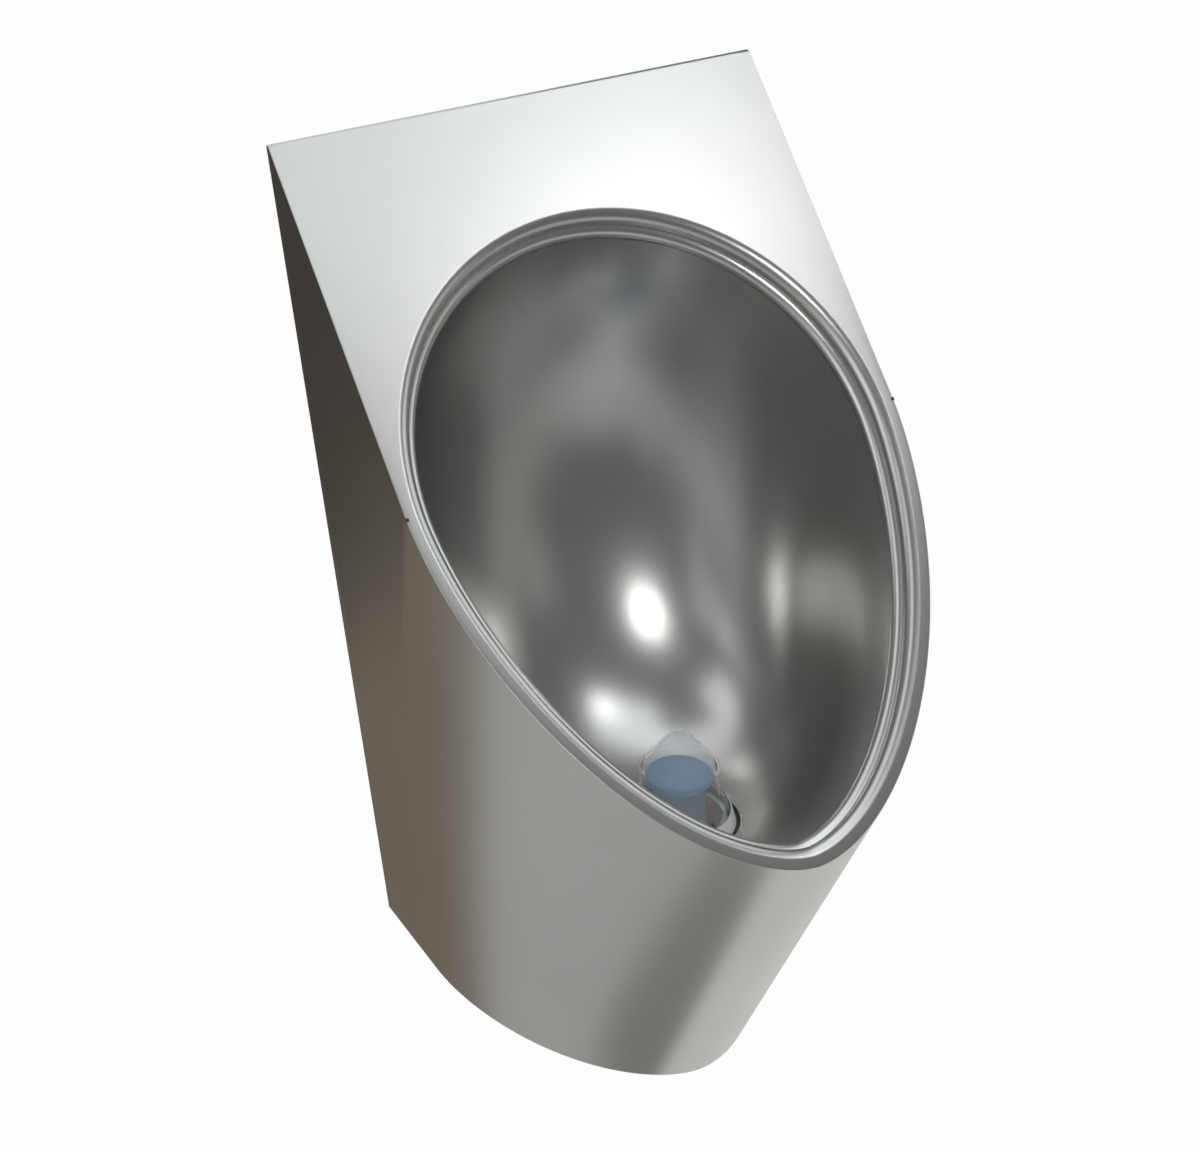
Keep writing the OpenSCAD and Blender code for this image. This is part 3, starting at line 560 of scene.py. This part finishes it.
def make_piece(bm, name, material, body, outward, sharp=35.0):
    """A smooth-shaded piece, its faces turned so that together they lean along outward."""
    bmesh.ops.remove_doubles(bm, verts=bm.verts, dist=MERGE_GAP)
    bmesh.ops.recalc_face_normals(bm, faces=bm.faces)
    lean = sum(face.calc_area() * face.normal.dot(Vector(outward)) for face in bm.faces)
    if lean < -TINY:
        bmesh.ops.reverse_faces(bm, faces=bm.faces)
    for face in bm.faces:
        face.smooth = True
    for edge in bm.edges:
        if len(edge.link_faces) == 2 and edge.calc_face_angle() > math.radians(sharp):
            edge.smooth = False
    # Sorted by place, because the order that an extrusion leaves can change from run to run.
    bm.verts.sort(key=lambda vert: order_key(vert.co))
    bm.edges.sort(key=lambda edge: order_key(edge.verts[0].co + edge.verts[1].co))
    bm.faces.sort(key=lambda face: order_key(face.calc_center_median()))
    mesh = bpy.data.meshes.new(name)
    bm.to_mesh(mesh)
    bm.free()
    mesh.materials.append(material)
    piece = bpy.data.objects.new(name, mesh)
    bpy.context.collection.objects.link(piece)
    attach(piece, body)
    return piece


def thicken(piece, thickness):
    """Sheet thickness grown inwards from the visible face."""
    wall = piece.modifiers.new("thickness", "SOLIDIFY")
    wall.thickness = thickness
    wall.offset = -1
    wall.use_even_offset = True


# %% [markdown]
# Panel and side sheet are welded and ground flush on the real urinal, so they are one shell here. It
# starts as the panel's outer edge. That loop is pushed inwards over the flat face and round the
# rolled opening, and its lower part is pushed down the bend lines. The top and the sides are turned
# back to the wall and in behind it, and the side returns stop short of the top flange. Last, the
# folds and the nose's edge get a small radius by bevel, as bent steel has.

# %% Body shell
NOSE_STEPS = 176
SIDE_STEPS = 26
TOP_STEPS = 44
ROLL_STEPS = 16
BAND_STEPS = 2
EDGE_R = 0.0006
WALL_RETURN = 0.015
TOP_FLANGE = 0.025
FLANGE_GAP = 0.002
MITRE_GAP = 0.001
OFF_PANEL = (0, -0.65, 0.76)
corner = math.atan2(FOLD_L, BODY_W / 2)
nose_angles = [math.pi * i / NOSE_STEPS for i in range(NOSE_STEPS)]
left_angles = [math.pi + corner * i / SIDE_STEPS for i in range(SIDE_STEPS)]
top_angles = [math.pi + corner + (math.pi - 2 * corner) * i / TOP_STEPS for i in range(TOP_STEPS)]
right_angles = [2 * math.pi - corner * (1 - i / SIDE_STEPS) for i in range(SIDE_STEPS)]
panel_angles = nose_angles + left_angles + top_angles + right_angles


def lower_point(t):
    """Where the side sheet ends below the panel's edge at angle t."""
    if t > math.pi:
        down = edge_point(t).y / FOLD_L
        side = 1 if math.cos(t) > 0 else -1
        y = -TOP_RETURN * (1 - down) - FOOT_SIDE * SIDE_FAN_SHARE * down
        return Vector((side * FOOT_W / 2, y, BASE_Z))
    p = foot_point(min(t, math.pi - t))
    return Vector((p.x if t <= math.pi / 2 else -p.x, p.y, p.z))


def body_shell():
    """The panel with its rolled opening and the side sheet, as one skin."""
    bm = bmesh.new()
    outer = start_loop(bm, [on_slope(edge_point(t), 0) for t in panel_angles])
    ring = outer
    for i in range(1, BAND_STEPS + 1):
        share = i / BAND_STEPS
        ring = push_loop(bm, ring, [
            on_slope(edge_point(t).lerp(rim_point(t, BAND_W), share), 0) for t in panel_angles])
    for i in range(1, ROLL_STEPS + 1):
        a = math.pi / 2 * i / ROLL_STEPS
        ring = push_loop(bm, ring, [
            on_slope(rim_point(t, BAND_W + ROLL_R * math.sin(a)), ROLL_R * (1 - math.cos(a)))
            for t in panel_angles])
    first_top = NOSE_STEPS + SIDE_STEPS
    last_top = first_top + TOP_STEPS
    around = loop_edges(bm, outer)
    side_edges = around[:first_top] + around[last_top:]
    top_edges = around[first_top:last_top]
    angle_of = dict(zip(outer, panel_angles))
    lower = set(extrude(bm, side_edges)[0])
    for vert in outer:
        for edge in vert.link_edges:
            other = edge.other_vert(vert)
            if other in lower:
                other.co = lower_point(angle_of[vert])
    corners = [outer[first_top], outer[last_top]]
    back_edges = [e for v in corners for e in v.link_edges if e.other_vert(v) in lower]
    verts, side_rear = extrude(bm, back_edges)
    for vert in verts:
        vert.co.y = 0
    verts, top_rear = extrude(bm, top_edges)
    for vert in verts:
        vert.co.y = 0
    for vert in extrude(bm, side_rear)[0]:
        vert.co.x -= math.copysign(WALL_RETURN, vert.co.x)
        if vert.co.z > TOP_Z - SHEET:
            vert.co.z -= TOP_FLANGE - MITRE_GAP
    for vert in extrude(bm, top_rear)[0]:
        vert.co.z -= TOP_FLANGE
        vert.co.x *= 1 - 2 * (WALL_RETURN + FLANGE_GAP) / BODY_W
    round_edges(bm, side_edges + top_edges, EDGE_R)
    return bm


shell = make_piece(body_shell(), "body_shell", satin_steel, "housing", OFF_PANEL)
thicken(shell, SHEET)
soften = shell.modifiers.new("even_shading", "WEIGHTED_NORMAL")
soften.keep_sharp = True
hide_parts("front_panel", "side_skirt")
print("shell faces:", len(shell.data.polygons))

# %% [markdown]
# The bowl is deep-drawn from one disc: a lip that rolls into the opening, a wall that leaves the lip
# square to the panel, and a floor that runs level into the drain. Each section is a smooth curve with
# two handles, and the loop of the lip is pushed down through all of them.

# %% Bowl
BOWL_ROUND = 240
WALL_STEPS = 48
LIP_STEPS = 12
MOUTH_R = 0.041
SEAT_R = 0.036
SEAT_DROP = 0.0082
MOUTH_EDGE_R = 0.0008
FLOOR_ANGLE = math.radians(9)
WALL_LEAN_SHARE = 0.18
WALL_REACH_SHARE = 0.40
FLOOR_REACH_SHARE = 0.36
INTO_BOWL = (0, -0.2, 0.98)
cup_low, cup_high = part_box("trap_cup")
drain = Vector(((cup_low[0] + cup_high[0]) / 2, (cup_low[1] + cup_high[1]) / 2, 0))
COLLAR_H = 0.0095
mouth_z = cup_high[2] - COLLAR_H
lip_d = BAND_W + ROLL_R - SHEET


def away(p):
    """Level direction from the drain's axis to a point."""
    d = Vector((p.x - drain.x, p.y - drain.y, 0))
    return d.normalized()


def wall_handles(t):
    """Start, two handles and end of the bowl's wall at one angle of the rim."""
    start = on_slope(rim_point(t, lip_d + LIP_R - BOWL_SHEET), ROLL_R + LIP_R + BOWL_SHEET)
    out = away(start)
    end = Vector((drain.x, drain.y, mouth_z)) + MOUTH_R * out
    span = (start - end).length
    inward = Vector((0, math.cos(SLOPE), -math.sin(SLOPE))) - out * WALL_LEAN_SHARE
    rise = out * math.cos(FLOOR_ANGLE) + Vector((0, 0, math.sin(FLOOR_ANGLE)))
    from_lip = start + WALL_REACH_SHARE * span * inward.normalized()
    to_drain = end + FLOOR_REACH_SHARE * span * rise
    return start, from_lip, to_drain, end


def bezier(handles, s):
    """Point of a cubic curve with two handles."""
    a, b, c, d = handles
    return (1 - s) ** 3 * a + 3 * (1 - s) ** 2 * s * b + 3 * (1 - s) * s ** 2 * c + s ** 3 * d


def bowl_shell():
    """The bowl's visible skin, from the lip to the seat of the drain."""
    bm = bmesh.new()
    angles = [2 * math.pi * i / BOWL_ROUND for i in range(BOWL_ROUND)]
    ring = start_loop(bm, [on_slope(rim_point(t, lip_d), ROLL_R) for t in angles])
    for i in range(1, LIP_STEPS + 1):
        a = math.pi / 2 * i / LIP_STEPS
        ring = push_loop(bm, ring, [
            on_slope(rim_point(t, lip_d + LIP_R * math.sin(a)), ROLL_R + LIP_R * (1 - math.cos(a)))
            for t in angles])
    curves = [wall_handles(t) for t in angles]
    for i in range(WALL_STEPS + 1):
        ring = push_loop(bm, ring, [bezier(c, i / WALL_STEPS) for c in curves])
    mouth = ring
    outs = [away(c[0]) for c in curves]
    seat_z = mouth_z - SEAT_DROP
    ring = push_loop(bm, ring, [Vector((drain.x, drain.y, seat_z)) + MOUTH_R * out for out in outs])
    push_loop(bm, ring, [Vector((drain.x, drain.y, seat_z)) + SEAT_R * out for out in outs])
    round_edges(bm, loop_edges(bm, mouth), MOUTH_EDGE_R)
    return bm


bowl = make_piece(bowl_shell(), "bowl_skin", bowl_steel, "housing", INTO_BOWL, sharp=50.0)
thicken(bowl, BOWL_SHEET)
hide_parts("bowl")
print("bowl faces:", len(bowl.data.polygons))

# %% [markdown]
# The sheet is nicked where each fold ends, so that it doesn't tear when it is bent, and once more at
# the front where its ends meet. No nick is cut: each is a shallow cone painted near black and sunk
# into the steel, as painted shade of the pit.

# %% Relief nicks
NICK_DEEP = 0.0012
NICK_TAPER = 0.7
NICK_SINK = 0.0003
FOLD_NICK_R = 0.0015
SEAM_NICK_R = 0.0011
SEAM_NICK_DROP = 0.004
NICK_ROUND = 24
FOLD_OUT = Vector((0.8, -0.4, 0.45)).normalized()
SEAM_OUT = Vector((0, -0.87, -0.49))


def make_nick(name, place, out, radius):
    """A small plug painted near black as the shade of a pit, sunk into the steel."""
    bm = bmesh.new()
    bmesh.ops.create_cone(
        bm, cap_ends=True, segments=NICK_ROUND, radius1=radius, radius2=radius * NICK_TAPER,
        depth=NICK_DEEP)
    turn = Vector((0, 0, 1)).rotation_difference(Vector(out)).to_matrix()
    bmesh.ops.rotate(bm, verts=bm.verts, cent=(0, 0, 0), matrix=turn)
    bmesh.ops.translate(bm, verts=bm.verts, vec=place)
    return make_piece(bm, name, painted_pit_shade, "housing", out)


for side, word in ((-1, "left"), (1, "right")):
    out = Vector((side * FOLD_OUT.x, FOLD_OUT.y, FOLD_OUT.z))
    fold_end = on_slope(Vector((side * BODY_W / 2, FOLD_L)), 0) - out * NICK_SINK
    make_nick("fold_nick_" + word, fold_end, out, FOLD_NICK_R)
seam_place = on_slope(rim_point(math.pi / 2, 0), SEAM_NICK_DROP)
make_nick("seam_nick", seam_place, SEAM_OUT, SEAM_NICK_R)
print("nicks made: 3")

# %% [markdown]
# A black rubber ring fills the gap between the white collar and the bowl's mouth. It stays with the
# bowl when the trap is lifted out. It is pushed up its inner side ring by ring, over a low crest and
# down its outer side.

# %% Collar seal
SEAL_IN_R = 0.0389
SEAL_OUT_R = 0.0408
SEAL_TOP_DROP = 0.0012
SEAL_ROUND = 96
SEAL_CREST = 0.0008
SEAL_LIFT = 0.0002
seal_low = mouth_z - SEAT_DROP + SEAL_LIFT
seal_high = mouth_z - SEAL_TOP_DROP
seal_mid = (SEAL_IN_R + SEAL_OUT_R) / 2
seal_shoulder = seal_high - SEAL_CREST
section = [
    (SEAL_IN_R, seal_low), (SEAL_IN_R, seal_shoulder), (seal_mid, seal_high),
    (SEAL_OUT_R, seal_shoulder), (SEAL_OUT_R, seal_low), (SEAL_IN_R, seal_low)]


def seal_ring(radius, height):
    """Points of one ring of the seal."""
    turns = [2 * math.pi * i / SEAL_ROUND for i in range(SEAL_ROUND)]
    return [
        Vector((drain.x + radius * math.cos(t), drain.y + radius * math.sin(t), height)) for t in turns]


bm = bmesh.new()
ring = start_loop(bm, seal_ring(*section[0]))
for radius, height in section[1:]:
    ring = push_loop(bm, ring, seal_ring(radius, height))
make_piece(bm, "collar_seal", seal_rubber, "housing", (1, 0, 0))
print("collar seal made")

# %% [markdown]
# The last cell hands the scene over.

# %% Finish
print("scene ready")
